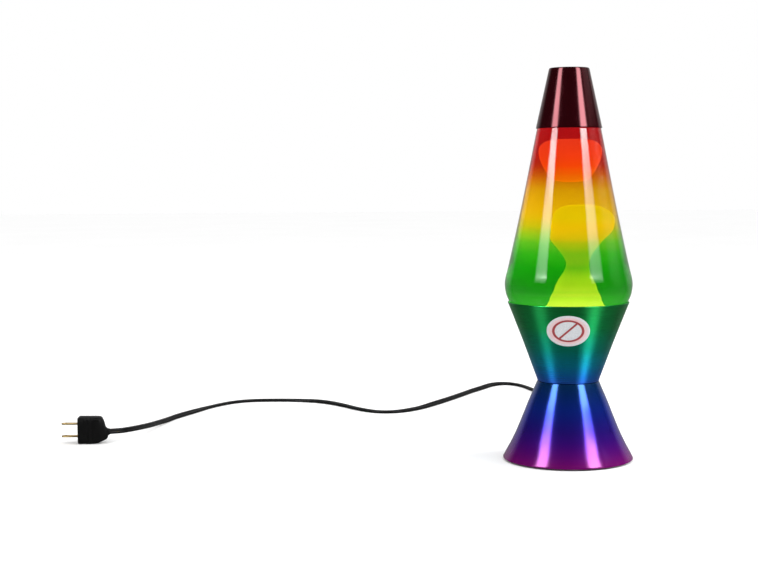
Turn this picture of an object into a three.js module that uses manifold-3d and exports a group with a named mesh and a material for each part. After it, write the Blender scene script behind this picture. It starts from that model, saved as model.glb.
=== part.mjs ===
// Rainbow lava lamp: a spun hourglass base, a glass globe of liquid and wax that lifts out of it,
// a tapered cap on top, a screw-in bulb in the waist and a flat twin lead with a two-blade plug.
// Millimetres, +Z up. The lamp's axis is the Z axis, the feet stand on z = 0 and the front faces -Y.

import * as THREE from 'three';
import { mergeVertices } from 'three/addons/utils/BufferGeometryUtils.js';
import Module from 'manifold-3d';

// ---- driving dimensions -------------------------------------------------------------------------

const ROUND = 36;               // facets round a large turned part
const SMALL_ROUND = 18;         // facets round a small turned part
const FIT_GAP = 0.3;            // clearance between touching pieces

const FOOT_HEIGHT = 2.2;
const FOOT_RADIUS = 5;
const FOOT_CIRCLE = 46;         // radius of the circle that the four feet stand on

const SHEET = 1.25;             // wall of the spun aluminium shells
const CONE_BOTTOM_Z = 1.5;
const CONE_BOTTOM_RADIUS = 61.2;
const WAIST_Z = 75.1;           // top face of the lower cone
const WAIST_RADIUS = 28.9;
const WAIST_OPENING = 19.8;     // radius of the hole that the bulb passes through
const SEAT_Z = 4.3;             // underside of the rolled seat that the bottom plate screws to
const SEAT_INNER_RADIUS = 50.5;

const CUP_RIM_Z = 150;
const CUP_RIM_RADIUS = 56.6;

const GLASS_BOTTOM_Z = 118;
const GLASS_WALL = 2.5;
const SHOULDER_RADIUS = 59.8;   // widest ring of the globe
const SHOULDER_Z = 166.5;
const MOUTH_Z = 348;
const LIQUID_TOP_Z = 321;
const WAX_PAD_Z = 128.2;        // top edge of the wax that covers the globe's floor

const CAP_BOTTOM_Z = 312;
const CAP_BOTTOM_RADIUS = 30.7;
const CAP_TOP_RADIUS = 18.3;
const LAMP_HEIGHT = 368;
const CAP_WALL = 0.95;

const PLATE_RADIUS = 57.9;
const PLATE_THICKNESS = 1.4;
const PLATE_SCREW_CIRCLE = 54.2;
const VENT_COUNT = 8;

const SCREW_RADIUS = 1.5;
const SCREW_HOLE_RADIUS = 1.8;
const SCREW_HEAD_RADIUS = 2.7;
const WAIST_SCREW_X = 23.7;

const BRACKET_WIDTH = 14;
const BRACKET_SHEET = 1.2;
const BRACKET_LEG_X = 19;       // inner face of each leg
const BRACKET_FLOOR_Z = 34;

const SOCKET_RADIUS = 13;
const SOCKET_BOTTOM_Z = BRACKET_FLOOR_Z + BRACKET_SHEET + FIT_GAP;
const SOCKET_TOP_Z = 66;
const SOCKET_BORE_RADIUS = 9.9;
const SOCKET_BORE_Z = 42.5;
const NIPPLE_RADIUS = 5;
const TERMINAL_Z = 39.5;

const BULB_TIP_Z = 46;
const BULB_TOP_Z = 104.7;
const BULB_RADIUS = 17.5;
const BULB_PITCH = 2.82;        // advance of the screw base in one turn

const RELIEF_Z = 11.5;          // height of the cord's exit in the back of the cone
const RELIEF_INNER_Y = 49.6;
const RELIEF_END_Y = 80;
const CORD_DIAMETER = 3.9;      // round section with the area of the flat twin lead
const CORD_FLOOR_Z = 2.1;

const PLUG_END_X = -454.5;      // cord end of the plug
const PLUG_LENGTH = 29.2;
const PLUG_HEIGHT = 27.4;
const PLUG_THICKNESS = 17;
const PLUG_Y = 98;
const PLUG_CORD_Z = 11.8;
const BLADE_LENGTH = 17;
const BLADE_WIDTH = 6.35;
const BLADE_THICKNESS = 1.5;
const BLADE_SPACING = 12.7;

const STICKER_Z = 126.9;
const STICKER_HALF_WIDTH = 20.3;
const STICKER_HALF_HEIGHT = 14.6;
const STICKER_TURN = THREE.MathUtils.degToRad(-7.2);    // from -Y towards -X

// The lead's route from the lamp's back to the plug: [x, y, z].
const CORD_ROUTE = [
  [0, RELIEF_INNER_Y + 0.6, RELIEF_Z],
  [0, 66, RELIEF_Z],
  [0, 84, RELIEF_Z],
  [1.5, 100, 9.3],
  [5, 118, 5],
  [9, 136, 2.7],
  [15, 160, CORD_FLOOR_Z],
  [28, 212, CORD_FLOOR_Z],
  [37, 266, CORD_FLOOR_Z],
  [37, 320, CORD_FLOOR_Z],
  [30, 366, CORD_FLOOR_Z],
  [19, 402, CORD_FLOOR_Z],
  [9, 441, CORD_FLOOR_Z],
  [2, 464, CORD_FLOOR_Z],
  [-5, 477, CORD_FLOOR_Z],
  [-14, 484.5, CORD_FLOOR_Z],
  [-25, 483.5, CORD_FLOOR_Z],
  [-36, 473, CORD_FLOOR_Z],
  [-45, 457, CORD_FLOOR_Z],
  [-53, 441, CORD_FLOOR_Z],
  [-66, 417, CORD_FLOOR_Z],
  [-86, 376, CORD_FLOOR_Z],
  [-107, 336, CORD_FLOOR_Z],
  [-127, 303, CORD_FLOOR_Z],
  [-146, 281, CORD_FLOOR_Z],
  [-165, 271, CORD_FLOOR_Z],
  [-184, 275, CORD_FLOOR_Z],
  [-202, 292, CORD_FLOOR_Z],
  [-220, 318, CORD_FLOOR_Z],
  [-239, 340, CORD_FLOOR_Z],
  [-258, 353, CORD_FLOOR_Z],
  [-280, 360, CORD_FLOOR_Z],
  [-302, 362, CORD_FLOOR_Z],
  [-325, 361, CORD_FLOOR_Z],
  [-344, 354, CORD_FLOOR_Z],
  [-361, 337, CORD_FLOOR_Z],
  [-377, 310, CORD_FLOOR_Z],
  [-391, 275, CORD_FLOOR_Z],
  [-405, 241, 2.2],
  [-415, 203, 3.8],
  [-422, 167, 6.4],
  [-428, 137, 9.2],
  [-435, 115, 11],
  [-442, 105, 11.5],
  [PLUG_END_X + 1.6, PLUG_Y + 0.6, PLUG_CORD_Z],
];

// ---- materials ----------------------------------------------------------------------------------

function finish(color, roughness, metalness, extra = {}) {
  return new THREE.MeshStandardMaterial({ color, roughness, metalness, ...extra });
}

const clear = { transparent: true, opacity: 0.4 };
const coneFinish = finish(0x2a0f73, 0.22, 0.9);
const cupFinish = finish(0x14606e, 0.45, 0.9);
const capFinish = finish(0x6e0a1e, 0.25, 0.9);
const glassFinish = finish(0xe8f0ee, 0.05, 0, clear);
const liquidFinish = finish(0x9fb41e, 0.1, 0, clear);
const columnFinish = finish(0xb4d21e, 0.5, 0);
const blobFinish = finish(0xff4a1e, 0.5, 0);
const stickerFinish = finish(0xd6d6d2, 0.5, 0);
const blackPlastic = finish(0x16161a, 0.5, 0);
const rubber = finish(0x121212, 0.85, 0);
const steel = finish(0xb8bcc0, 0.35, 1);
const brass = finish(0xc8a24a, 0.35, 1);
const phenolic = finish(0xe6e0d2, 0.35, 0);
const tin = finish(0xc9b26a, 0.35, 1);

// ---- geometry helpers ---------------------------------------------------------------------------

// A profile of [radius, z] points turned about the Z axis, outer side running upwards.
function turned(profile, facets = ROUND) {
  const points = profile.map(([radius, z]) => new THREE.Vector2(radius, z));
  const geometry = new THREE.LatheGeometry(points, facets);
  geometry.rotateX(Math.PI / 2);
  return geometry;
}

// A turned profile that does not meet the axis, closed on itself.
function turnedRing(profile, facets = ROUND) {
  return turned([...profile, profile[0]], facets);
}

function disc(radius, bottom, top, facets = SMALL_ROUND) {
  return turned([[0, bottom], [radius, bottom], [radius, top], [0, top]], facets);
}

function pipe(outer, inner, bottom, top, facets = SMALL_ROUND) {
  return turnedRing([[inner, bottom], [outer, bottom], [outer, top], [inner, top]], facets);
}

// A round rod along a curve.
function rod(points, radius, steps, sides) {
  const path = new THREE.CatmullRomCurve3(points.map(([x, y, z]) => new THREE.Vector3(x, y, z)));
  const section = new THREE.Shape();
  section.absarc(0, 0, radius, 0, 2 * Math.PI);
  return new THREE.ExtrudeGeometry(section, { extrudePath: path, steps, curveSegments: sides / 2 });
}

// An outline of [x, z] points, thickened along Y about y = 0.
function slab(outline, width, bevel = 0) {
  const shape = new THREE.Shape(outline.map(([x, z]) => new THREE.Vector2(x, z)));
  const depth = width - 2 * bevel;
  const geometry = new THREE.ExtrudeGeometry(shape, {
    depth,
    bevelEnabled: bevel > 0,
    bevelThickness: bevel,
    bevelSize: bevel,
    bevelOffset: -bevel,
    bevelSegments: 2,
    curveSegments: 8,
  });
  geometry.rotateX(Math.PI / 2);
  geometry.translate(0, depth / 2, 0);
  return geometry;
}

function moved(geometry, x, y, z = 0) {
  return geometry.clone().translate(x, y, z);
}

const wasm = await Module();
wasm.setup();

function toSolid(geometry) {
  const bare = geometry.clone();
  bare.deleteAttribute('normal');
  bare.deleteAttribute('uv');
  const merged = mergeVertices(bare);
  const corners = merged.index.array;
  const faces = [];
  for (let i = 0; i < corners.length; i += 3) {
    const [a, b, c] = corners.slice(i, i + 3);
    if (a !== b && b !== c && c !== a) faces.push(a, b, c);
  }
  const vertProperties = new Float32Array(merged.attributes.position.array);
  const triVerts = new Uint32Array(faces);
  return new wasm.Manifold(new wasm.Mesh({ numProp: 3, vertProperties, triVerts }));
}

function toGeometry(solid) {
  const { vertProperties, triVerts } = solid.getMesh();
  const geometry = new THREE.BufferGeometry();
  geometry.setAttribute('position', new THREE.BufferAttribute(vertProperties, 3));
  geometry.setIndex(new THREE.BufferAttribute(triVerts, 1));
  geometry.computeVertexNormals();
  return geometry;
}

function cut(body, ...tools) {
  return toGeometry(tools.reduce((solid, tool) => solid.subtract(toSolid(tool)), toSolid(body)));
}

function common(first, second) {
  return toGeometry(toSolid(first).intersect(toSolid(second)));
}

function onCircle(radius, count, firstDegrees) {
  return Array.from({ length: count }, (_, i) => {
    const angle = THREE.MathUtils.degToRad(firstDegrees + (360 * i) / count);
    return [radius * Math.cos(angle), radius * Math.sin(angle)];
  });
}

// A cheese-head screw with a slot, its shank along +Z from the head's underside at z = 0.
function screw(shank, headHeight = 1.4, radius = SCREW_RADIUS, headRadius = SCREW_HEAD_RADIUS) {
  const body = turned([
    [0, -headHeight], [headRadius - 0.4, -headHeight], [headRadius, -headHeight + 0.4],
    [headRadius, 0], [radius, 0], [radius, shank - 0.8], [radius * 0.5, shank], [0, shank],
  ], 12);
  const slot = new THREE.BoxGeometry(3 * headRadius, 0.7, 1.2);
  return cut(body, moved(slot, 0, 0, -headHeight));
}

function hexNut(acrossFlats, bore, height) {
  const outer = turned([
    [0, 0], [acrossFlats / Math.sqrt(3), 0], [acrossFlats / Math.sqrt(3), height], [0, height],
  ], 6);
  return cut(outer, disc(bore, -1, height + 1, 16));
}

const lamp = new THREE.Group();

function add(name, geometry, material, parent = lamp) {
  const mesh = new THREE.Mesh(geometry, material);
  mesh.name = name;
  parent.add(mesh);
  return mesh;
}

// ---- lower cone and upper cup -------------------------------------------------------------------

const waistScrewHoles = [-1, 1].map((side) =>
  moved(disc(SCREW_HOLE_RADIUS, 60, 90, 12), side * WAIST_SCREW_X, 0));

function lowerCone() {
  const shell = turnedRing([
    [CONE_BOTTOM_RADIUS, CONE_BOTTOM_Z],
    [59, 5.5],
    [48.4, 28],
    [37.1, 56],
    [WAIST_RADIUS, WAIST_Z],
    [WAIST_OPENING, WAIST_Z],
    [WAIST_OPENING, WAIST_Z - SHEET],
    [WAIST_RADIUS - 0.8, WAIST_Z - SHEET],
    [37.1 - SHEET, 56],
    [48.4 - SHEET, 28],
    [59 - SHEET, 5.5],
    [SEAT_INNER_RADIUS, 5.5],
    [SEAT_INNER_RADIUS, SEAT_Z],
    [58.4, SEAT_Z],
    [CONE_BOTTOM_RADIUS - SHEET, CONE_BOTTOM_Z],
  ]);
  const seatHoles = onCircle(PLATE_SCREW_CIRCLE, 3, 30).map(([x, y]) =>
    moved(disc(SCREW_HOLE_RADIUS, 2, 8, 12), x, y));
  const cordHole = disc(4.2, 45, 65, 20);
  cordHole.rotateX(-Math.PI / 2);
  cordHole.translate(0, 0, RELIEF_Z);
  return cut(shell, cordHole, ...seatHoles, ...waistScrewHoles);
}

const CUP_FOOT_Z = WAIST_Z + FIT_GAP;

function upperCup() {
  const shell = turnedRing([
    [WAIST_RADIUS, CUP_FOOT_Z],
    [29.2, 76.6],
    [42.4, 112.6],
    [53.5, 140.9],
    [56, 147.3],
    [CUP_RIM_RADIUS, 148.4],
    [CUP_RIM_RADIUS, CUP_RIM_Z - 0.5],
    [56.2, CUP_RIM_Z],
    [55.6, CUP_RIM_Z],
    [55.3, 149.3],
    [56 - SHEET, 147.3],
    [53.5 - SHEET, 140.9],
    [42.4 - SHEET, 112.6],
    [29.2 - SHEET, CUP_FOOT_Z + SHEET],
    [WAIST_OPENING, CUP_FOOT_Z + SHEET],
    [WAIST_OPENING, CUP_FOOT_Z],
  ]);
  return cut(shell, ...waistScrewHoles);
}

// An oval label that follows the front of the cup.
function ovalSticker() {
  const wrap = turnedRing([
    [42.4 + FIT_GAP, 108],
    [43, 108],
    [57.2, 144.3],
    [57.2 - 0.3, 144.6],
  ], 96);
  const oval = new THREE.Shape();
  oval.absellipse(0, STICKER_Z, STICKER_HALF_WIDTH, STICKER_HALF_HEIGHT, 0, 2 * Math.PI);
  const punch = new THREE.ExtrudeGeometry(oval, { depth: 50, bevelEnabled: false, curveSegments: 20 });
  punch.rotateX(Math.PI / 2);
  punch.translate(0, -20, 0);
  punch.rotateZ(STICKER_TURN);
  return common(wrap, punch);
}

add('lower_cone', lowerCone(), coneFinish);
add('upper_cup', upperCup(), cupFinish);
add('oval_sticker', ovalSticker(), stickerFinish);

// ---- bottom plate, its screws and the feet ------------------------------------------------------

const PLATE_Z = FOOT_HEIGHT + FIT_GAP;

function bottomPlate() {
  const plate = disc(PLATE_RADIUS, PLATE_Z, PLATE_Z + PLATE_THICKNESS, ROUND);
  const holes = onCircle(PLATE_SCREW_CIRCLE, 3, 30).map(([x, y]) =>
    moved(disc(SCREW_HOLE_RADIUS, 0, 8, 12), x, y));
  const vents = Array.from({ length: VENT_COUNT }, (_, i) => {
    const slot = new THREE.CapsuleGeometry(1.8, 15, 2, 6);
    slot.translate(0, 27, 0);
    slot.rotateZ((2 * Math.PI * (i + 0.5)) / VENT_COUNT);
    return slot.translate(0, 0, PLATE_Z + PLATE_THICKNESS / 2);
  });
  return cut(plate, ...holes, ...vents);
}

add('bottom_plate', bottomPlate(), blackPlastic);

onCircle(PLATE_SCREW_CIRCLE, 3, 30).forEach(([x, y], i) => {
  add(`plate_screw_${i + 1}`, screw(6.2, 1.2), steel).position.set(x, y, FOOT_HEIGHT);
});

onCircle(FOOT_CIRCLE, 4, 45).forEach(([x, y], i) => {
  const pad = turned([
    [0, 0], [FOOT_RADIUS - 0.4, 0], [FOOT_RADIUS, 0.5], [FOOT_RADIUS, FOOT_HEIGHT], [0, FOOT_HEIGHT],
  ], 20);
  add(`foot_${i + 1}`, pad, rubber).position.set(x, y, 0);
});

// ---- socket and its bracket ---------------------------------------------------------------------

const TAB_TOP_Z = WAIST_Z - SHEET - FIT_GAP;
const TAB_END_X = 27;

function socketBracket() {
  const legOuter = BRACKET_LEG_X + BRACKET_SHEET;
  const strap = slab([
    [-TAB_END_X, TAB_TOP_Z], [-TAB_END_X, TAB_TOP_Z - BRACKET_SHEET],
    [-legOuter, TAB_TOP_Z - BRACKET_SHEET], [-legOuter, BRACKET_FLOOR_Z],
    [legOuter, BRACKET_FLOOR_Z], [legOuter, TAB_TOP_Z - BRACKET_SHEET],
    [TAB_END_X, TAB_TOP_Z - BRACKET_SHEET], [TAB_END_X, TAB_TOP_Z],
    [BRACKET_LEG_X, TAB_TOP_Z], [BRACKET_LEG_X, BRACKET_FLOOR_Z + BRACKET_SHEET],
    [-BRACKET_LEG_X, BRACKET_FLOOR_Z + BRACKET_SHEET], [-BRACKET_LEG_X, TAB_TOP_Z],
  ], BRACKET_WIDTH);
  const stemHole = disc(NIPPLE_RADIUS + FIT_GAP, 20, 40);
  return cut(strap, stemHole, ...waistScrewHoles);
}

function socketBody() {
  const body = turned([
    [0, SOCKET_BOTTOM_Z], [SOCKET_RADIUS - 1, SOCKET_BOTTOM_Z], [SOCKET_RADIUS, SOCKET_BOTTOM_Z + 1],
    [SOCKET_RADIUS, SOCKET_TOP_Z - 2], [SOCKET_RADIUS - 1, SOCKET_TOP_Z],
    [SOCKET_BORE_RADIUS, SOCKET_TOP_Z], [SOCKET_BORE_RADIUS, SOCKET_BORE_Z], [0, SOCKET_BORE_Z],
  ], SMALL_ROUND);
  const stemHole = disc(NIPPLE_RADIUS + FIT_GAP, 30, 41.4);
  const terminalHoles = [-1, 1].map((side) => {
    const hole = disc(1.5, 7.6, 20, 12);
    hole.rotateX((-side * Math.PI) / 2);
    return hole.translate(0, 0, TERMINAL_Z);
  });
  return cut(body, stemHole, ...terminalHoles);
}

// Thin brass sleeve with rolled thread rings.
function threadedSleeve(radius, wall, bottom, top, rings, depth) {
  const outer = Array.from({ length: 2 * rings + 1 }, (_, i) => [
    radius - (i % 2) * depth, bottom + ((top - bottom) * i) / (2 * rings),
  ]);
  const inner = outer.map(([r, z]) => [r - wall, z]).reverse();
  return turnedRing([...outer, ...inner], SMALL_ROUND);
}

add('socket_bracket', socketBracket(), steel);
add('socket_body', socketBody(), phenolic);
add('socket_screw_shell', threadedSleeve(9.6, 0.4, 43, 64.5, 4, 0.3), brass);
add('socket_contact', turned([[0, 42.8], [3.5, 42.8], [3.5, 43.4], [1.6, 45.7], [0, 45.7]], 16), brass);
add('socket_nipple', pipe(NIPPLE_RADIUS, 3.4, 28.8, 41.1), steel);
add('socket_nut', hexNut(15, NIPPLE_RADIUS + FIT_GAP, 3.3), steel)
  .position.set(0, 0, BRACKET_FLOOR_Z - FIT_GAP - 3.3);

[-1, 1].forEach((side, i) => {
  const bolt = add(`waist_screw_${i + 1}`, screw(8, 1.8), steel);
  bolt.position.set(side * WAIST_SCREW_X, 0, CUP_FOOT_Z + SHEET + FIT_GAP);
  bolt.rotation.x = Math.PI;
  add(`waist_nut_${i + 1}`, hexNut(5.5, SCREW_HOLE_RADIUS, 2.4), steel)
    .position.set(side * WAIST_SCREW_X, 0, TAB_TOP_Z - BRACKET_SHEET - FIT_GAP - 2.4);
});

const TERMINAL_HEAD_Y = 15.4;

[['terminal_screw_live', 1], ['terminal_screw_neutral', -1]].forEach(([name, side]) => {
  const bolt = add(name, screw(7, 1.4, 1.2, 2.6), brass);
  bolt.position.set(0, side * TERMINAL_HEAD_Y, TERMINAL_Z);
  bolt.rotation.x = (side * Math.PI) / 2;
});

// ---- leads, strain relief, cord and plug --------------------------------------------------------

const LEAD_RADIUS = 0.8;
const TERMINAL_LEAD_X = 2.4;
const TERMINAL_LEAD_Y = 14.2;

const liveRoute = [
  [TERMINAL_LEAD_X, TERMINAL_LEAD_Y, TERMINAL_Z + 3],
  [TERMINAL_LEAD_X, TERMINAL_LEAD_Y, 33],
  [4, 19, 22],
  [3, 33, 14],
  [1.4, 44, RELIEF_Z + 0.5],
  [1.2, RELIEF_INNER_Y, RELIEF_Z],
];

const neutralRoute = [
  [-TERMINAL_LEAD_X, -TERMINAL_LEAD_Y, TERMINAL_Z + 3],
  [-TERMINAL_LEAD_X, -TERMINAL_LEAD_Y, 33],
  [-9, -19, 22],
  [-24, -8, 16],
  [-20, 18, 13],
  [-6, 40, RELIEF_Z + 0.5],
  [-1.2, RELIEF_INNER_Y, RELIEF_Z],
];

add('lead_live', rod(liveRoute, LEAD_RADIUS, 16, 6), blackPlastic);
add('lead_neutral', rod(neutralRoute, LEAD_RADIUS, 24, 6), phenolic);

// A tapered sleeve that snaps into the back of the cone, turned about the Y axis.
function strainRelief() {
  const bore = CORD_DIAMETER / 2 + FIT_GAP;
  return turnedRing([
    [bore, 49.9], [4.6, 49.9], [4.9, 50.3], [4.9, 51.8], [3.9, 51.8],
    [3.9, 59.2], [5.2, 59.2], [5.2, 60.8], [4.4, 61.6], [3, RELIEF_END_Y], [bore, RELIEF_END_Y],
  ], 16);
}

const relief = add('strain_relief', strainRelief(), blackPlastic);
relief.position.z = RELIEF_Z;
relief.rotation.x = -Math.PI / 2;

add('cord', rod(CORD_ROUTE, CORD_DIAMETER / 2, 80, 8), blackPlastic);

// The plug lies on its narrow edge with its blades pointing along -X.
function plugBody() {
  const face = PLUG_END_X - PLUG_LENGTH;
  return slab([
    [face, 0.2], [PLUG_END_X - 10, 0.2], [PLUG_END_X - 5.4, 2.2], [PLUG_END_X - 2.2, 3.6],
    [PLUG_END_X - 0.5, 5.2], [PLUG_END_X, 6.8], [PLUG_END_X, 15], [PLUG_END_X - 2.4, 16.2],
    [PLUG_END_X - 4.4, 23.6], [PLUG_END_X - 5.6, 26.2], [PLUG_END_X - 7.4, PLUG_HEIGHT],
    [face, PLUG_HEIGHT],
  ], PLUG_THICKNESS, 2.2);
}

add('plug_body', plugBody(), blackPlastic).position.y = PLUG_Y;

[['plug_blade_live', 1], ['plug_blade_neutral', -1]].forEach(([name, side]) => {
  const tip = 2;
  const outline = [
    [0, -BLADE_WIDTH / 2], [0, BLADE_WIDTH / 2], [tip - BLADE_LENGTH, BLADE_WIDTH / 2],
    [-BLADE_LENGTH, BLADE_WIDTH / 2 - tip], [-BLADE_LENGTH, tip - BLADE_WIDTH / 2],
    [tip - BLADE_LENGTH, -BLADE_WIDTH / 2],
  ];
  const blade = add(name, slab(outline, BLADE_THICKNESS), brass);
  const middle = PLUG_HEIGHT / 2;
  blade.position.set(PLUG_END_X - PLUG_LENGTH - FIT_GAP, PLUG_Y, middle + (side * BLADE_SPACING) / 2);
  blade.rotation.x = Math.PI / 2;
});

// ---- bulb ---------------------------------------------------------------------------------------

const bulb = new THREE.Group();
lamp.add(bulb);

function bulbGlass() {
  const wall = 0.8;
  return turnedRing([
    [7.4, 60], [7.4, 67.5], [8.4, 70], [11.6, 75.5], [15.5, 81], [BULB_RADIUS, 87.5],
    [17.2, 93], [14.7, 98.8], [10, 102.8], [5, 104.4], [0.02, BULB_TOP_Z],
    [0.02, BULB_TOP_Z - wall], [4.8, 103.6], [9.5, 102.1], [14, 98.3], [16.4, 92.8],
    [BULB_RADIUS - wall, 87.5], [14.8, 81.4], [10.9, 76], [7.7, 70.6], [6.6, 67.9], [6.6, 60],
  ], SMALL_ROUND);
}

add('bulb_glass', bulbGlass(), glassFinish, bulb);

function bulbScrewBase() {
  const crests = Array.from({ length: 9 }, (_, i) => [i % 2 ? 8.1 : 8.5, 51 + (i * BULB_PITCH) / 2]);
  return turnedRing([
    [7.7, 49.4], ...crests, [8.5, 65.2], [9.2, 65.6], [9.2, 67],
    [7.75, 67], [7.75, 59], [7.3, 52], [6.9, 49.4],
  ], SMALL_ROUND);
}

add('bulb_screw_base', bulbScrewBase(), brass, bulb);
add('bulb_insulator', turned([[0, 47], [3.4, 47], [7.4, 49.1], [0, 49.1]], SMALL_ROUND), blackPlastic, bulb);
add('bulb_contact', turned([[0, BULB_TIP_Z], [1.4, BULB_TIP_Z], [2.2, 46.7], [0, 46.7]], 12), tin, bulb);
add('bulb_stem', turned([
  [0, 60.4], [6, 60.4], [5.6, 61.4], [2.4, 68], [1.9, 78], [2.4, 81], [0, 81.6],
], 16), glassFinish, bulb);
add('bulb_filament', rod([
  [-2.8, 0, 80], [-6.4, 0, 88], [-7.4, 0, 92.6], [-4, 0, 94], [0, 0, 94.5], [4, 0, 94],
  [7.4, 0, 92.6], [6.4, 0, 88], [2.8, 0, 80],
], 0.3, 20, 4), steel, bulb);

// ---- globe --------------------------------------------------------------------------------------

const globe = new THREE.Group();
lamp.add(globe);

// Inner face of the globe from the floor's edge up to the mouth.
const globeInside = [
  [36, 120.5], [39.5, 121], [41.6, 122.5], [52.2, 149.2], [54.3, 153], [56.3, 158.5],
  [SHOULDER_RADIUS - GLASS_WALL, SHOULDER_Z], [56.8, 171.5], [54.4, 181], [50.7, 197],
  [36.4, 265], [28.6, 305], [25.4, 317.5], [23.6, 322.5], [19.4, 327.4], [14.2, 331.2],
  [10.6, 335], [10, 338],
];

function globeBottle() {
  return turned([
    [0, GLASS_BOTTOM_Z], [37, GLASS_BOTTOM_Z], [40.9, 119.1], [43.9, 121.6],
    [54.7, 149.4], [57, 153.2], [58.8, 158.5], [SHOULDER_RADIUS, SHOULDER_Z], [59.3, 171.5],
    [56.9, 181], [53.2, 197], [38.9, 265], [31.1, 305], [28, 318], [26.1, 324.2], [21.7, 329.6],
    [16.4, 333.2], [13.4, 336.2], [12.8, 339], [12.8, 343.5], [14.2, 344.2], [14.2, 347],
    [12.6, MOUTH_Z], [10.6, MOUTH_Z],
    ...[...globeInside].reverse(),
    [0, 120.5],
  ]);
}

// The wax column stands off the axis, and its dome hangs over further towards +X: [z, offset].
const COLUMN_LEAN = [
  [WAX_PAD_Z, 0], [146, 4.9], [166, 5.3], [183, 6.5], [196, 5.9], [204, 5.8], [216, 9.7], [225, 10.7],
  [239, 8.6],
];

function offsetAt(z) {
  const next = COLUMN_LEAN.findIndex(([level]) => level > z);
  if (next < 1) return next === 0 ? 0 : COLUMN_LEAN.at(-1)[1];
  const [low, from] = COLUMN_LEAN[next - 1];
  const [high, to] = COLUMN_LEAN[next];
  return from + ((to - from) * (z - low)) / (high - low);
}

function lean(geometry) {
  const position = geometry.attributes.position;
  for (let i = 0; i < position.count; i += 1) {
    position.setX(i, position.getX(i) + offsetAt(position.getZ(i)));
  }
  return geometry;
}

// extra grows the shape to leave a gap round it; the grown shape has no pad on the globe's floor.
function waxColumn(extra) {
  const column = [
    [43.5, WAX_PAD_Z], [37, 133.5], [31.5, 139], [29.4, 144.5], [23.4, 151.2], [18.1, 157.8],
    [12.6, 167.3], [9.4, 175], [8.1, 182.5], [9, 188], [11.4, 193.5], [14.6, 199], [20.4, 209.5],
    [22.3, 219], [20.6, 229.5], [17, 234.4], [10.5, 238],
  ].map(([radius, z]) => [radius + extra, z]);
  const pad = extra > 0
    ? [[0, WAX_PAD_Z - 6], [43.5 + extra, WAX_PAD_Z - 6]]
    : [[0, 120.9], [35.5, 120.9], [38.9, 121.4], [41.1, 122.8]];
  return lean(turned([...pad, ...column, [0, 239 + extra]], SMALL_ROUND));
}

function waxBlob(extra) {
  const blob = turned([
    [0, 260.2 - extra], [7 + extra, 260.8 - extra], [12 + extra, 262.6], [17.4 + extra, 271.2],
    [21.2 + extra, 281], [22.1 + extra, 289], [20.4 + extra, 295.4], [16.6 + extra, 298.6],
    [11 + extra, 300 + extra], [0, 300.4 + extra],
  ], SMALL_ROUND);
  return blob.translate(1, 0, 0);
}

// The liquid wraps the wax. A narrow channel runs from the blob's hollow up to the liquid's surface.
function liquid() {
  const side = globeInside
    .filter(([, z]) => z > WAX_PAD_Z && z < LIQUID_TOP_Z)
    .map(([radius, z]) => [radius - FIT_GAP - 0.05, z]);
  const filling = turned([
    [0, WAX_PAD_Z + FIT_GAP], [43.6, WAX_PAD_Z + FIT_GAP], ...side,
    [23.7, LIQUID_TOP_Z], [0, LIQUID_TOP_Z],
  ]);
  const channel = disc(1, 295, LIQUID_TOP_Z + 5, 8);
  return cut(filling, waxColumn(0.35), waxBlob(0.35), channel);
}

const COIL_CIRCLE = 30;
const COIL_RADIUS = 3;
const COIL_Z = 124.9;
const COIL_TURNS = 14;

function wireCoil() {
  const start = 0.12;
  const steps = COIL_TURNS * 7;
  const route = Array.from({ length: steps + 1 }, (_, i) => {
    const around = start + ((2 * Math.PI - 2 * start) * i) / steps;
    const twist = (2 * Math.PI * COIL_TURNS * i) / steps;
    const radius = COIL_CIRCLE + COIL_RADIUS * Math.cos(twist);
    return [radius * Math.cos(around), radius * Math.sin(around), COIL_Z + COIL_RADIUS * Math.sin(twist)];
  });
  return rod(route, 0.7, steps, 4);
}

const coilGroove = pipe(COIL_CIRCLE + 4.6, COIL_CIRCLE - 4.6, 118, 129.2, SMALL_ROUND);

add('globe_bottle', globeBottle(), glassFinish, globe);
add('liquid', liquid(), liquidFinish, globe);
add('wax_column', cut(waxColumn(0), coilGroove), columnFinish, globe);
add('wax_blob', waxBlob(0), blobFinish, globe);
add('wire_coil', wireCoil(), steel, globe);

// A crimped bottle closure, its skirt pressed into flutes.
function crownCap() {
  const flutes = 21;
  const geometry = turned([
    [0, 349.3], [13.6, 349.3], [14.7, 348.5], [14.9, 346.6], [16, 344.4], [16.5, 344.7],
    [15.4, 347], [15.2, 348.8], [14.1, 349.8], [0, 349.8],
  ], 2 * flutes);
  const position = geometry.attributes.position;
  for (let i = 0; i < position.count; i += 1) {
    const [x, y, z] = [position.getX(i), position.getY(i), position.getZ(i)];
    const depth = 0.45 * THREE.MathUtils.clamp((348.5 - z) / 4, 0, 1);
    const scale = 1 + (depth * Math.cos(flutes * Math.atan2(y, x))) / 15;
    position.setXY(i, x * scale, y * scale);
  }
  return geometry;
}

add('crown_cap', crownCap(), tin, globe);
add('crown_liner', disc(12.6, MOUTH_Z + FIT_GAP, 349), rubber, globe);

// ---- top cap ------------------------------------------------------------------------------------

function topCap() {
  return turned([
    [0, LAMP_HEIGHT - 1], [CAP_TOP_RADIUS - 1.1, LAMP_HEIGHT - 1], [CAP_TOP_RADIUS - 0.4, 366.2],
    [CAP_BOTTOM_RADIUS - CAP_WALL, CAP_BOTTOM_Z], [CAP_BOTTOM_RADIUS, CAP_BOTTOM_Z],
    [CAP_TOP_RADIUS + 0.6, 366.6], [CAP_TOP_RADIUS, 367.6], [CAP_TOP_RADIUS - 0.9, LAMP_HEIGHT],
    [0, LAMP_HEIGHT],
  ]);
}

add('top_cap', topCap(), capFinish);

export default lamp;
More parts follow.
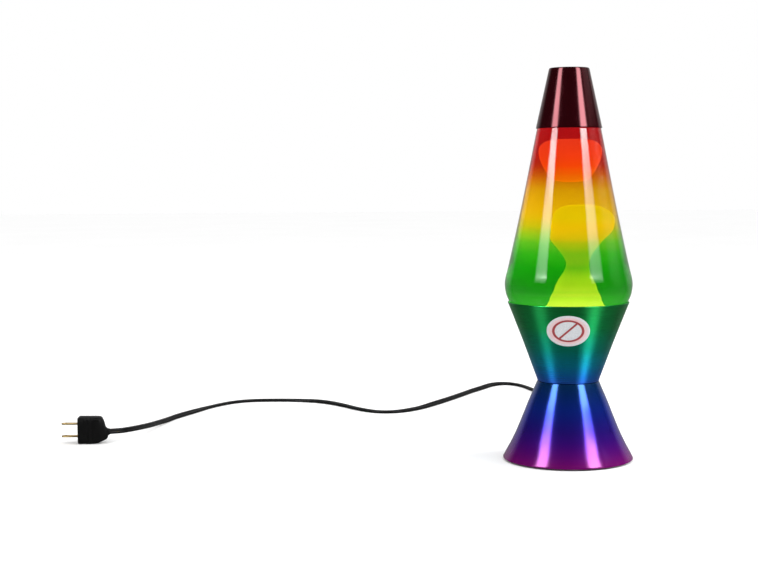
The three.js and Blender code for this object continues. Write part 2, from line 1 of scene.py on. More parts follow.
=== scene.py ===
"""Rainbow lava lamp: the looks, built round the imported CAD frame. Metres, +Z up, front along -Y."""

import math

import bmesh
import bpy
from mathutils import Matrix, Vector


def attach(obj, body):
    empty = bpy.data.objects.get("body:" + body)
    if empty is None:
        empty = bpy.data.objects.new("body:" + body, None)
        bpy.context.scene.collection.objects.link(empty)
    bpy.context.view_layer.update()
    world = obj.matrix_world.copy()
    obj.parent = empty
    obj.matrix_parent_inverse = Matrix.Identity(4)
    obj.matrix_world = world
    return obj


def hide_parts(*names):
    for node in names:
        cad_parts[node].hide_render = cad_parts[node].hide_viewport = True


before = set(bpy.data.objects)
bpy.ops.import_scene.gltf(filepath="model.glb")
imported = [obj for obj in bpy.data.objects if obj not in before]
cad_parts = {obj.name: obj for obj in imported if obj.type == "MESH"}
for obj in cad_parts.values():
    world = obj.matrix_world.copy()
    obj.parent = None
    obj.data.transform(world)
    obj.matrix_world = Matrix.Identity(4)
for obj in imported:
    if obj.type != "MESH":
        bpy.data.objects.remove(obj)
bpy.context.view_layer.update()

MM = 0.001
TAU = 2 * math.pi
FINE = 128                      # facets round a large turned piece
SMALL = 48                      # facets round a small turned piece

scene = bpy.context.scene
scene.view_settings.view_transform = "Standard"


# ---- camera ----

CAMERA_PLACE = Vector((-0.1783, -1.4087, 0.2766))
CAMERA_PITCH = math.radians(4.73)       # looking down
CAMERA_ROLL = math.radians(-0.39)
CAMERA_LENS = 71.3


def make_camera():
    tilt = Matrix.Rotation(math.pi / 2 - CAMERA_PITCH, 4, "X")
    roll = Matrix.Rotation(CAMERA_ROLL, 4, "Z")
    camera = bpy.data.objects.new("camera", bpy.data.cameras.new("camera"))
    camera.data.lens = CAMERA_LENS
    camera.data.sensor_width = 36
    camera.matrix_world = Matrix.Translation(CAMERA_PLACE) @ tilt @ roll
    scene.collection.objects.link(camera)
    scene.camera = camera


make_camera()


# ---- mesh helpers ----

def new_object(name, vertices, faces, material=None, sharp=35):
    """A smooth-shaded mesh whose edges over the sharp angle, in degrees, stay crisp."""
    mesh = bpy.data.meshes.new(name)
    mesh.from_pydata([tuple(v) for v in vertices], [], faces)
    mesh.validate()
    mesh.shade_smooth()
    mesh.set_sharp_from_angle(angle=math.radians(sharp))
    piece = bpy.data.objects.new(name, mesh)
    scene.collection.objects.link(piece)
    if material:
        mesh.materials.append(material)
    return piece


def belongs(piece, body, node):
    """The piece rides on a body and stands for a CAD node."""
    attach(piece, body)
    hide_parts(node)
    # The frame has the same material names, so Blender numbers these: brass.001.
    return piece


def spline(points, per_span=6):
    """A Catmull-Rom curve through points of any dimension."""
    points = [Vector(p) for p in points]
    ends = [2 * points[0] - points[1]] + points + [2 * points[-1] - points[-2]]
    curve = []
    for a, b, c, d in zip(ends, ends[1:], ends[2:], ends[3:]):
        for i in range(per_span):
            t = i / per_span
            curve.append(0.5 * (2 * b + (c - a) * t + (2 * a - 5 * b + 4 * c - d) * t ** 2
                                + (3 * b - a - 3 * c + d) * t ** 3))
    return curve + [points[-1]]


def curve(points, per_span):
    """A spline as a profile of plain pairs."""
    return [tuple(p) for p in spline(points, per_span)]


def fillet(centre, radius, start, end, steps=5):
    """Profile points of an arc in degrees, counted from outwards towards up."""
    angles = [math.radians(start + (end - start) * i / steps) for i in range(steps + 1)]
    return [(centre[0] + radius * math.cos(a), centre[1] + radius * math.sin(a)) for a in angles]


def revolve(name, profile, material, facets=FINE, shift=None, sharp=35, closed=False):
    """Turns [radius, z] millimetres about +Z, outer side running up. shift moves rings sideways."""
    vertices = []
    rings = []
    for radius, z in profile:
        dx = shift(z) if shift else 0
        if radius < 1e-4:
            rings.append([len(vertices)] * facets)
            vertices.append(Vector((dx, 0, z)) * MM)
            continue
        rings.append(list(range(len(vertices), len(vertices) + facets)))
        for k in range(facets):
            angle = TAU * k / facets
            x, y = dx + radius * math.cos(angle), radius * math.sin(angle)
            vertices.append(Vector((x, y, z)) * MM)
    faces = []
    pairs = list(zip(rings, rings[1:])) + ([(rings[-1], rings[0])] if closed else [])
    for low, high in pairs:
        for k in range(facets):
            n = (k + 1) % facets
            corners = [low[k], low[n], high[n], high[k]]
            faces.append(list(dict.fromkeys(corners)))
    faces = [f for f in faces if len(f) > 2]
    return new_object(name, vertices, faces, material, sharp)


def turned(name, body, node, *shape, **options):
    """A turned piece that rides on its body in place of a CAD node."""
    return belongs(revolve(name, *shape, **options), body, node)


def sweep(name, centres, section, material, frames=None, cap=True, sharp=50):
    """Carries a closed section of (across, upwards) metres along centres, twisted by frames."""
    sides = len(section)
    vertices = []
    last = len(centres) - 1
    across = None
    for i, centre in enumerate(centres):
        along = (centres[min(i + 1, last)] - centres[max(i - 1, 0)]).normalized()
        if frames:
            level = Vector((along.y, -along.x, 0)).normalized()
            over = level.cross(along)
            twist = frames[i]
            across = level * math.cos(twist) + over * math.sin(twist)
        elif across is None:
            across = along.orthogonal().normalized()
        else:
            across = (across - along * across.dot(along)).normalized()
        over = across.cross(along)
        for x, y in section:
            vertices.append(centre + across * x + over * y)
    faces = []
    for i in range(last):
        for k in range(sides):
            n = (k + 1) % sides
            a, b = i * sides, (i + 1) * sides
            faces.append([a + k, a + n, b + n, b + k])
    if cap:
        faces.append(list(range(sides))[::-1])
        faces.append([last * sides + k for k in range(sides)])
    piece = new_object(name, vertices, faces, material, sharp)
    outward(piece)
    return piece


def outward(piece):
    """Turns every face's normal outwards."""
    work = bmesh.new()
    work.from_mesh(piece.data)
    bmesh.ops.recalc_face_normals(work, faces=work.faces)
    work.to_mesh(piece.data)
    work.free()


def slab(name, outline, low, high, material, axis="Z", bevel=0.0):
    """An outline in millimetres thickened along one axis, its edges rounded by the bevel."""
    count = len(outline)
    corners = [(u, w, v) if axis == "Y" else (u, v, w) for w in (low, high) for u, v in outline]
    vertices = [Vector(corner) * MM for corner in corners]
    faces = [list(range(count)), list(range(count, 2 * count))]
    faces += [[k, (k + 1) % count, count + (k + 1) % count, count + k] for k in range(count)]
    piece = new_object(name, vertices, faces, material)
    outward(piece)
    if bevel:
        modify(piece, "BEVEL", width=bevel * MM, segments=3, limit_method="ANGLE",
               angle_limit=math.radians(30))
    return piece


def modify(piece, kind, **settings):
    """Adds a modifier, applies it and keeps the result as the mesh."""
    modifier = piece.modifiers.new(kind.lower(), kind)
    for key, value in settings.items():
        setattr(modifier, key, value)
    graph = bpy.context.evaluated_depsgraph_get()
    graph.update()
    mesh = bpy.data.meshes.new_from_object(piece.evaluated_get(graph))
    piece.modifiers.clear()
    old = piece.data
    piece.data = mesh
    bpy.data.meshes.remove(old)
    mesh.shade_smooth()
    mesh.set_sharp_from_angle(angle=math.radians(35))


def carve(piece, *tools):
    """Cuts closed tool objects out of a piece and deletes them."""
    for tool in tools:
        modify(piece, "BOOLEAN", object=tool, operation="DIFFERENCE", solver="EXACT")
        bpy.data.objects.remove(tool)


def rod(radius, low, high, x=0.0, y=0.0, facets=24):
    """A cutter for an upright round hole, in millimetres."""
    profile = [(0, low), (radius, low), (radius, high), (0, high)]
    return place(revolve("hole", profile, None, facets), (x, y, 0))


def place(piece, location=(0, 0, 0), turn=None):
    """Moves a piece's mesh, in millimetres, so that the object stays at the origin."""
    matrix = Matrix.Translation(Vector(location) * MM)
    if turn:
        matrix = matrix @ turn
    piece.data.transform(matrix)
    return piece


def on_circle(radius, count, first=0):
    """Evenly spaced points on a circle, the first at an angle in degrees."""
    angles = [math.radians(first + 360 * i / count) for i in range(count)]
    return [(radius * math.cos(a), radius * math.sin(a)) for a in angles]


# ---- material helpers ----

def linear(red, green, blue):
    """A screen colour from 0 to 255 as linear light."""
    def channel(c):
        c /= 255
        return c / 12.92 if c <= 0.04045 else ((c + 0.055) / 1.055) ** 2.4
    return (channel(red), channel(green), channel(blue), 1)


class Nodes:
    """Short calls that add nodes to a tree."""

    def __init__(self, tree):
        self.tree = tree

    def node(self, kind, inputs=(), **settings):
        node = self.tree.nodes.new("ShaderNode" + kind)
        for key, value in settings.items():
            setattr(node, key, value)
        for key, value in dict(inputs).items():
            if isinstance(value, bpy.types.NodeSocket):
                self.tree.links.new(value, node.inputs[key])
            else:
                node.inputs[key].default_value = value
        return node

    def math(self, operation, a, b=0.0, clamp=False):
        return self.node("Math", {0: a, 1: b}, operation=operation, use_clamp=clamp).outputs[0]

    def span(self, value, low, high, to_low=0.0, to_high=1.0):
        inputs = {"Value": value, "From Min": low, "From Max": high,
                  "To Min": to_low, "To Max": to_high}
        return self.node("MapRange", inputs, clamp=True).outputs["Result"]

    def ramp(self, value, stops):
        node = self.node("ValToRGB", {"Fac": value})
        elements = node.color_ramp.elements
        while len(elements) < len(stops):
            elements.new(0.5)
        for element, (position, color) in zip(elements, stops):
            element.position = position
            element.color = color
        return node.outputs["Color"]


class Shader(Nodes):
    """A material with one Principled shader, whose uniform sockets are named in the call."""

    def __init__(self, name, **sockets):
        self.material = bpy.data.materials.new(name)
        self.material.use_nodes = True
        super().__init__(self.material.node_tree)
        self.bsdf = self.tree.nodes["Principled BSDF"]
        for key, value in sockets.items():
            self.bsdf.inputs[key.replace("_", " ")].default_value = value
        self.coordinates = self.node("TexCoord").outputs["Object"]

    def away(self, value, centre):
        """How far a value is from the centre."""
        return self.math("ABSOLUTE", self.math("SUBTRACT", value, centre))

    def axis(self, letter):
        return self.node("SeparateXYZ", {0: self.coordinates}).outputs[letter]

    def height_ramp(self, stops):
        """Colours by height: stops are (z in millimetres, linear colour) from low to high."""
        low, high = stops[0][0], stops[-1][0]
        share = self.span(self.axis("Z"), low * MM, high * MM)
        return self.ramp(share, [((z - low) / (high - low), (*color, 1)) for z, color in stops])

    def noise(self, scale, detail=3.0, stretch=(1, 1, 1), roughness=0.55):
        spread = self.node("Mapping", {"Vector": self.coordinates, "Scale": stretch})
        inputs = {"Vector": spread.outputs[0], "Scale": scale, "Detail": detail,
                  "Roughness": roughness}
        return self.node("TexNoise", inputs).outputs["Fac"]

    def mix(self, share, a, b, blend="MIX"):
        node = self.node("Mix", data_type="RGBA", blend_type=blend)
        for socket, value in zip((node.inputs[0], node.inputs[6], node.inputs[7]), (share, a, b)):
            if isinstance(value, bpy.types.NodeSocket):
                self.tree.links.new(value, socket)
            else:
                socket.default_value = value
        return node.outputs[2]

    def mottled(self, color, noise, low, high, noise_high=0.7):
        """The colour, darker or lighter from low to high as the noise runs."""
        shade = self.span(noise, 0.3, noise_high, low, high)
        tone = self.node("CombineColor", {0: shade, 1: shade, 2: shade}).outputs[0]
        return self.mix(1.0, color, tone, "MULTIPLY")

    def feed(self, socket, value):
        self.tree.links.new(value, self.bsdf.inputs[socket])
        return self

    def bump(self, height, strength, distance):
        node = self.node("Bump", {"Height": height, "Strength": strength, "Distance": distance})
        return self.feed("Normal", node.outputs[0])


def gradient_metal(name, stops, metallic, roughness, brushing, gloss):
    """Lacquered spun aluminium whose colour changes with height, with fine turning lines."""
    shader = Shader(name, Specular_IOR_Level=gloss)
    low = stops[0][0] * MM
    shader.feed("Metallic", shader.span(shader.axis("Z"), low, low + 0.03, *metallic))
    color = shader.height_ramp(stops)
    shader.feed("Base Color", shader.mottled(color, shader.noise(14, 2), 0.93, 1.05))
    lines = shader.noise(1, 2, (30, 30, 5200))
    smears = shader.noise(55, 4)
    worn = shader.math("ADD", shader.span(lines, 0.3, 0.7, -brushing, brushing),
                       shader.span(smears, 0.45, 0.8, 0.0, 0.05))
    shader.feed("Roughness", shader.math("ADD", worn, roughness))
    shader.bump(lines, 0.12, 0.00002)
    return shader.material


CONE_COLORS = [
    (1.5, (0.155, 0.0012, 0.118)), (6, (0.132, 0.0012, 0.132)), (15, (0.081, 0.0013, 0.172)),
    (24, (0.046, 0.0035, 0.215)), (34, (0.0235, 0.0086, 0.25)), (43, (0.01, 0.015, 0.27)),
    (52, (0.0045, 0.0235, 0.28)), (62, (0.003, 0.028, 0.21)), (75, (0.002, 0.036, 0.125)),
]
CUP_COLORS = [
    (75, (0.035, 0.15, 0.78)), (82, (0.017, 0.23, 0.74)), (93, (0.01, 0.36, 0.57)),
    (108, (0.008, 0.38, 0.27)), (128, (0.012, 0.37, 0.105)), (150, (0.017, 0.34, 0.07)),
]
CAP_COLORS = [
    (312, (0.044, 0.0008, 0.004)), (368, (0.04, 0.001, 0.0036)),
]
# The liquid's tint by height, also emitted as a painted glow. The lighter band from 150 to 158, just
# above the cup's rim, is painted light.
LIQUID_TINT_AND_GLOW = [
    (150, (0.035, 0.31, 0.025)), (154, (0.031, 0.29, 0.021)), (158, (0.02, 0.24, 0.012)),
    (163, (0.004, 0.175, 0.0022)), (170, (0.0032, 0.16, 0.0012)), (185, (0.0055, 0.2, 0.0016)),
    (198, (0.034, 0.25, 0.0064)), (207, (0.1, 0.285, 0.0075)), (214, (0.25, 0.3, 0.005)),
    (222, (0.39, 0.275, 0.001)), (232, (0.445, 0.25, 0.0006)), (255, (0.38, 0.178, 0.0004)),
    (262, (0.345, 0.097, 0.0003)), (270, (0.305, 0.037, 0.0003)), (277, (0.265, 0.0092, 0.001)),
    (285, (0.255, 0.0043, 0.002)), (312, (0.265, 0.0033, 0.005)),
]
# The column's colours by height, which its emission also shows as a painted glow of the bulb's light,
# brightest low in the column.
COLUMN_COLOR_AND_GLOW = [
    (150, (0.43, 0.172, 0.036)), (154, (0.4, 0.172, 0.03)), (158, (0.39, 0.172, 0.02)),
    (163, (0.86, 0.185, 0.034)), (170, (0.57, 0.154, 0.023)), (180, (0.203, 0.097, 0.014)),
    (192, (0.11, 0.083, 0.006)), (200, (0.124, 0.081, 0.001)), (208, (0.159, 0.077, 0)),
    (215, (0.138, 0.08, 0)), (228, (0.1, 0.096, 0)), (240, (0.098, 0.103, 0)),
]
# The drop's colours by height, which its emission also shows as a painted glow of the bulb's light.
BLOB_COLOR_AND_GLOW = [
    (262, (0.262, 0.092, 0)), (268, (0.288, 0.103, 0)), (276, (0.353, 0.133, 0.005)),
    (285, (0.356, 0.168, 0.021)), (302, (0.34, 0.152, 0.032)),
]


def glowing_wax(name, stops, glow):
    """Molten wax lit through from below, that light painted in as a glow emitted in its colour:
    colour by height, mottled, and a soft skin.
    """
    shader = Shader(name, Roughness=0.38, Emission_Strength=glow, Subsurface_Weight=0.2,
                    Subsurface_Radius=(0.008, 0.005, 0.002))
    color = shader.mottled(shader.height_ramp(stops), shader.noise(45, 3), 0.94, 1.04)
    shader.feed("Base Color", color).feed("Emission Color", color)
    shader.bump(shader.noise(30, 2), 0.2, 0.0006)
    return shader.material


MIRRORS_NOTHING = (0, 0, 0, 1)


def lit_liquid():
    """Clear coloured liquid that holds the bulb's light, painted in as a glow emitted in its tint."""
    shader = Shader("rainbow_liquid", Roughness=0.0, IOR=1.33, Transmission_Weight=1.0,
                    Emission_Strength=0.42, Specular_Tint=MIRRORS_NOTHING)
    color = shader.height_ramp(LIQUID_TINT_AND_GLOW)
    shader.feed("Base Color", color).feed("Emission Color", color)
    return shader.material


def clear_glass(name, tint, mirror=(1, 1, 1, 1)):
    """Clear glass with a slow ripple. A face that liquid wets mirrors nothing."""
    shader = Shader(name, Roughness=0.0, IOR=1.45, Transmission_Weight=1.0, Base_Color=tint,
                    Specular_Tint=mirror)
    shader.bump(shader.noise(9, 2, (1, 1, 0.4)), 0.06, 0.0008)
    return shader.material


def plain_metal(name, color, roughness):
    """Plated or bare metal with a fine grain and uneven polish."""
    shader = Shader(name, Metallic=1.0)
    shader.feed("Base Color", shader.mottled((*color, 1), shader.noise(60, 4), 0.94, 1.06))
    grains = shader.noise(900, 2)
    shader.feed("Roughness", shader.span(grains, 0.2, 0.8, roughness - 0.07, roughness + 0.1))
    shader.bump(grains, 0.08, 0.00004)
    return shader.material


def moulded(name, color, roughness, grain, depth, specular=0.5):
    """Moulded plastic, rubber or ceramic: a fine skin texture and handling marks."""
    shader = Shader(name, Specular_IOR_Level=specular)
    marks = shader.noise(70, 5)
    shader.feed("Base Color", shader.mottled((*color, 1), marks, 0.85, 1.25, 0.75))
    shader.feed("Roughness", shader.span(marks, 0.3, 0.7, roughness - 0.06, roughness + 0.08))
    shader.bump(shader.noise(grain, 2), 0.25, depth)
    return shader.material


cone_metal = gradient_metal("cone_rainbow_metal", CONE_COLORS, (0.3, 0.65), 0.13, 0.03, 0.36)
cup_metal = gradient_metal("cup_rainbow_metal", CUP_COLORS, (0.97, 0.97), 0.31, 0.06, 0.1)
cap_metal = gradient_metal("cap_rainbow_metal", CAP_COLORS, (0.66, 0.66), 0.12, 0.02, 0.55)
globe_glass = clear_glass("clear_glass", (0.97, 0.99, 0.985, 1))
# Mirrors nothing: on the faces the liquid wets, and on the bottle's foot as painted shade on its
# reflections.
wetted_and_shaded_glass = clear_glass("wetted_and_shaded_glass", (0.97, 0.99, 0.985, 1), MIRRORS_NOTHING)
bulb_clear = clear_glass("bulb_clear_glass", (0.99, 0.985, 0.97, 1))
liquid_color = lit_liquid()
# The wax's emission strengths: a painted glow of the bulb's light, stronger in the column than in the
# drop.
column_wax = glowing_wax("column_wax", COLUMN_COLOR_AND_GLOW, 8.6)
blob_wax = glowing_wax("blob_wax", BLOB_COLOR_AND_GLOW, 4.1)
zinc = plain_metal("zinc_steel", (0.62, 0.63, 0.65), 0.34)
brass = plain_metal("brass", (0.72, 0.5, 0.2), 0.3)
tin = plain_metal("tinned_steel", (0.7, 0.6, 0.34), 0.28)
solder = plain_metal("solder", (0.55, 0.55, 0.56), 0.45)
black_plastic = moulded("black_plastic", (0.012, 0.012, 0.013), 0.5, 1500, 0.00004)
plug_vinyl = moulded("plug_plastic", (0.0022, 0.0022, 0.0024), 0.5, 1800, 0.00005, 0.15)
wire_vinyl = moulded("black_wire", (0.0035, 0.0035, 0.0037), 0.45, 900, 0.00003, 0.23)
white_wire = moulded("white_wire", (0.75, 0.72, 0.64), 0.42, 900, 0.00003)
rubber = moulded("black_rubber", (0.02, 0.02, 0.02), 0.75, 700, 0.00008, 0.3)
ceramic = moulded("socket_ceramic", (0.78, 0.75, 0.68), 0.22, 300, 0.00003)


# ---- cord ----

FLOOR = 2.1
RELIEF_INNER_Y = 49.6
RELIEF_Z = 11.5
PLUG_END_X = -454.5
PLUG_Y = 98
PLUG_CORD_Z = 11.8

CORD_ROUTE = [
    (0, RELIEF_INNER_Y + 0.6, RELIEF_Z), (0, 66, RELIEF_Z), (0, 84, RELIEF_Z), (1.5, 100, 9.3),
    (5, 118, 5), (9, 136, 2.7), (15, 160, FLOOR), (28, 212, FLOOR), (37, 266, FLOOR),
    (37, 320, FLOOR), (30, 366, FLOOR), (19, 402, FLOOR), (9, 441, FLOOR), (2, 464, FLOOR),
    (-5, 477, FLOOR), (-14, 484.5, FLOOR), (-25, 483.5, FLOOR), (-36, 473, FLOOR),
    (-45, 457, FLOOR), (-53, 441, FLOOR), (-66, 417, FLOOR), (-86, 376, FLOOR), (-107, 336, FLOOR),
    (-127, 303, FLOOR), (-146, 281, FLOOR), (-165, 271, FLOOR), (-184, 275, FLOOR),
    (-202, 292, FLOOR), (-220, 318, FLOOR), (-239, 340, FLOOR), (-258, 353, FLOOR),
    (-280, 360, FLOOR), (-302, 362, FLOOR), (-325, 361, FLOOR), (-344, 354, FLOOR),
    (-361, 337, FLOOR), (-377, 310, FLOOR), (-391, 275, FLOOR), (-405, 241, 2.2),
    (-415, 203, 3.8), (-422, 167, 6.4), (-428, 137, 9.2), (-435, 115, 11), (-442, 105, 11.5),
    (PLUG_END_X + 1.6, PLUG_Y + 0.6, PLUG_CORD_Z),
]
STRAND = 0.0016                 # radius of each of the two insulated strands
STRAND_OFFSET = 0.0012
CORD_RINGS = 520
HEIGHT_PASSES = 12              # of smoothing where the cord comes down to the floor

# How far the flat lead stands on its edge, in degrees, at shares of its length.
CORD_TWIST = [(0, 0), (0.35, 0), (0.42, 75), (0.46, 88), (0.52, 75), (0.56, 20), (0.6, 0),
              (0.63, 8), (0.68, 22), (0.72, 4), (0.8, 0), (0.86, 50), (0.91, 80), (1, 90)]


def between(pairs, share):
    """A value at share, eased between the listed pairs."""
    for (a, low), (b, high) in zip(pairs, pairs[1:]):
        if share <= b:
            t = (share - a) / (b - a)
            return low + (high - low) * t * t * (3 - 2 * t)
    return pairs[-1][1]


def twin_section(sides=14):
    """The outline of two round strands joined side by side, in metres."""
    reach = math.acos(-STRAND_OFFSET / STRAND * 0.9)
    half = [(STRAND_OFFSET + STRAND * math.cos(a), STRAND * math.sin(a))
            for a in (reach * (2 * i / sides - 1) for i in range(sides + 1))]
    return half + [(-x, -y) for x, y in half]


def make_cord():
    """The flat lead along its route, resting on the floor on its flat side or its edge."""
    dense = [p * MM for p in spline(CORD_ROUTE, 12)]
    lengths = [0.0]
    for a, b in zip(dense, dense[1:]):
        lengths.append(lengths[-1] + (b - a).length)
    total = lengths[-1]
    centres = []
    twists = []
    cursor = 0
    for i in range(CORD_RINGS + 1):
        want = total * i / CORD_RINGS
        while cursor < len(dense) - 2 and lengths[cursor + 1] < want:
            cursor += 1
        part = (want - lengths[cursor]) / (lengths[cursor + 1] - lengths[cursor])
        point = dense[cursor].lerp(dense[cursor + 1], min(part, 1))
        twist = math.radians(between(CORD_TWIST, want / total))
        rest = STRAND + STRAND_OFFSET * abs(math.sin(twist)) + 0.0001
        on_floor = abs(point.z - FLOOR * MM) < 0.0004
        centres.append(Vector((point.x, point.y, rest if on_floor else max(point.z, rest))))
        twists.append(twist)
    heights = [c.z for c in centres]
    for _ in range(HEIGHT_PASSES):
        inner = [(a + 2 * b + c) / 4 for a, b, c in zip(heights, heights[1:], heights[2:])]
        heights = [heights[0], *inner, heights[-1]]
    for centre, z in zip(centres, heights):
        centre.z = max(centre.z, z)
    lead = sweep("flat_lead", centres, twin_section(), wire_vinyl, frames=twists, sharp=60)
    return belongs(lead, "base", "cord"), centres


flat_lead, cord_centres = make_cord()


# ---- plug ----

PLUG_LENGTH = 29.2
PLUG_HEIGHT = 27.4
BLADE_SPACING = 12.7


def rounded_ring(width, height, roundness, sides=40):
    """A squarish oval outline, from an ellipse at roundness 2 to nearly a rectangle at 8."""
    ring = []
    for k in range(sides):
        a = TAU * (k + 0.5) / sides
        c, s = math.cos(a), math.sin(a)
        ring.append((0.5 * width * math.copysign(abs(c) ** (2 / roundness), c),
                     0.5 * height * math.copysign(abs(s) ** (2 / roundness), s)))
    return ring


def loft(name, rings, material):
    """Skins a list of equal rings of points, capped at both ends."""
    sides = len(rings[0])
    vertices = [p for ring in rings for p in ring]
    faces = []
    for i in range(len(rings) - 1):
        a, b = i * sides, (i + 1) * sides
        faces += [[a + k, a + (k + 1) % sides, b + (k + 1) % sides, b + k] for k in range(sides)]
    faces.append(list(range(sides)))
    faces.append([(len(rings) - 1) * sides + k for k in range(sides)])
    piece = new_object(name, vertices, faces, material, 50)
    outward(piece)
    return piece


def make_plug():
    """Moulded two-blade plug lying on its narrow edge, with grip grooves and a cord neck."""
    stations = [
        # distance from the cord end, width (y), low z, high z, roundness
        (-2.4, 3.6, 8.8, 14.8, 2.2), (-1.6, 4.2, 8.5, 15.0, 2.2), (-0.6, 5.0, 8.0, 15.2, 2.4),
        (-0.1, 6.6, 6.8, 15.2, 2.6), (0.3, 8.4, 5.4, 15.4, 2.8), (1.2, 9.6, 4.2, 15.9, 3.0),
        (2.4, 10.8, 3.5, 17.2, 3.2), (3.4, 11.8, 3.0, 20.6, 3.4), (4.4, 12.7, 2.6, 23.7, 3.8),
        (5.8, 13.6, 2.0, 26.2, 4.4), (7.4, 14.6, 1.3, 27.2, 5.2), (9.8, 15.5, 0.5, 27.35, 6.2),
        (12.6, 16.0, 0.3, 27.4, 7),
    ]
    for start, width in ((13.6, 16.1), (17.8, 16.2), (22.0, 16.3)):
        groove = ((0, 0), (0.6, -0.7), (1.6, -0.7), (2.2, 0.1))
        stations += [(start + back, width + wider, 0.3, 27.4, 7) for back, wider in groove]
    stations += [
        (25.9, 16.7, 0.3, 27.4, 7), (26.5, 17.0, 0.25, 27.4, 7), (28.5, 17.0, 0.25, 27.4, 7),
        (29.0, 16.5, 0.5, 27.1, 7.5), (29.2, 15.6, 0.8, 26.8, 8),
    ]
    rings = []
    for back, width, low, high, roundness in stations:
        middle = (low + high) / 2
        ring = rounded_ring(width, high - low, roundness)
        rings.append([Vector((PLUG_END_X - back, PLUG_Y + y, middle + z)) * MM for y, z in ring])
    body = loft("plug_moulding", rings, plug_vinyl)
    return belongs(body, "base", "plug_body")


def make_blade(name, node, side):
    """A stamped blade with a coined tip and the usual hole."""
    outline = [(0, -3.175), (-14.6, -3.175), (-16.4, -2.2), (-17, -1.2),
               (-17, 1.2), (-16.4, 2.2), (-14.6, 3.175), (0, 3.175)]
    blade = slab(name, outline, -0.75, 0.75, brass, bevel=0.25)
    carve(blade, rod(1.6, -3, 3, -12.5))
    height = PLUG_HEIGHT / 2 + side * BLADE_SPACING / 2
    place(blade, (PLUG_END_X - PLUG_LENGTH - 0.3, PLUG_Y, height))
    return belongs(blade, "base", node)


def make_relief():
    """A tapered sleeve with a flange against the cone and grip rings."""
    bore = 2.75
    profile = [(bore, 49.9), (4.6, 49.9), (4.9, 50.3), (4.9, 51.8), (3.9, 51.8), (3.9, 59.2),
               *fillet((4.7, 59.7), 0.5, -90, 0, 3), *fillet((4.7, 60.7), 0.5, 0, 90, 3)]
    start, end, ribs = 62.0, 79.4, 6
    for i in range(ribs):
        y = start + (end - start) * i / ribs
        gap = (end - start) / ribs
        radius = 4.3 - 0.85 * i / ribs
        profile += [(radius, y), (radius - 0.1, y + 0.55 * gap), (radius - 0.6, y + 0.66 * gap),
                    (radius - 0.65, y + 0.88 * gap)]
    profile += [(3.4, end), (3.2, 80), (bore, 80)]
    sleeve = revolve("cord_sleeve", profile, black_plastic, SMALL, closed=True)
    place(sleeve, (0, 0, RELIEF_Z), Matrix.Rotation(-math.pi / 2, 4, "X"))
    return belongs(sleeve, "base", "strain_relief")


plug_pieces = [make_plug(), make_blade("live_blade", "plug_blade_live", 1),
               make_blade("neutral_blade", "plug_blade_neutral", -1), make_relief()]


# ---- cone, cup and cap ----

SHEET = 1.25
WAIST_Z = 75.1
WAIST_OPENING = 19.8
CUP_FOOT_Z = WAIST_Z + 0.3


def inner_wall(outer, thickness):
    """The inside of a wall: its outer profile backwards, moved in by the thickness."""
    return [(radius - thickness, z) for radius, z in reversed(outer)]


def make_cone():
    wall = curve([(60.6, 3.4), (58.7, 7), (53.3, 17.2), (48.3, 28), (42.6, 42), (37.1, 56),
                  (32.2, 67.4)], 4)
    outer = [*fillet((60.6, 2.1), 0.6, -90, 20, 5), *wall,
             (29.6, 73.6), *fillet((28.5, 74.5), 0.6, 15, 90, 4)]
    top = [(WAIST_OPENING, WAIST_Z), (WAIST_OPENING, WAIST_Z - SHEET), (27.6, WAIST_Z - SHEET)]
    inner = inner_wall(wall[1:], SHEET)
    seat = [(57.8, 5.5), (50.5, 5.5), (50.5, 4.3), (58.3, 4.3), (59.6, 2.2), (60.0, 1.6)]
    return turned("cone_shell", "base", "lower_cone", outer + top + inner + seat, cone_metal, 160,
                  closed=True)


def make_cup():
    wall = [(29.4, 77.2), (42.4, 112.6), (53.4, 140.9), (55.6, 146.4)]
    outer = [(28.6, CUP_FOOT_Z), *fillet((28.4, CUP_FOOT_Z + 0.6), 0.6, -60, -20, 3), *wall,
             *fillet((56.15, 149.35), 0.65, -30, 150, 7)]
    inner = [(54.5, 147.6), *inner_wall(wall, SHEET)[0:3], (28.0, CUP_FOOT_Z + SHEET),
             (WAIST_OPENING, CUP_FOOT_Z + SHEET), (WAIST_OPENING, CUP_FOOT_Z)]
    return turned("cup_shell", "base", "upper_cup", outer + inner, cup_metal, 160, closed=True)


def make_cap():
    outer = [*fillet((30.3, 312.5), 0.45, -90, 12, 4), (30.5, 313.7), (19.25, 365.0),
             *fillet((17.4, 366.6), 1.4, 12, 90, 6), (0, 368)]
    inner = [(0, 367), (16.6, 367), (18.0, 365.6), (29.8, 312.2)]
    return turned("cap_shell", "cap", "top_cap", inner + outer, cap_metal, 160)


make_cone()
make_cup()
make_cap()


# ---- globe ----

GLOBE_OUTER = curve([(40.4, 118.8), (43.6, 121.6), (51.7, 140.9), (54.4, 148.2), (56.9, 153.2),
                     (58.8, 158.6), (59.75, 166.4), (58.9, 173.2), (56.9, 181), (53.2, 197.4),
                     (45.9, 231), (38.95, 265), (31.1, 305), (28.2, 318), (25.9, 324.6),
                     (21.6, 329.6), (16.4, 333.2), (13.5, 336.2), (12.8, 339.4)], 5)
GLOBE_INNER = curve([(39.2, 121.2), (41.6, 122.9), (49.2, 140.9), (52.0, 148.6), (54.4, 153.4),
                     (56.3, 158.8), (57.25, 166.4), (56.4, 173), (54.4, 181), (50.7, 197.4),
                     (43.4, 231), (36.45, 265), (28.6, 305), (25.7, 317.5), (23.4, 322.9),
                     (19.3, 327.4), (14.2, 331.2), (11.0, 334.6), (10.1, 338)], 5)
LIQUID_TOP = 321
# Below this height the bottle's glass mirrors nothing: painted shade on the reflections of its foot
# in the cup.
REFLECTION_SHADED_BELOW = 158              # the bottle's foot, which stands in the cup


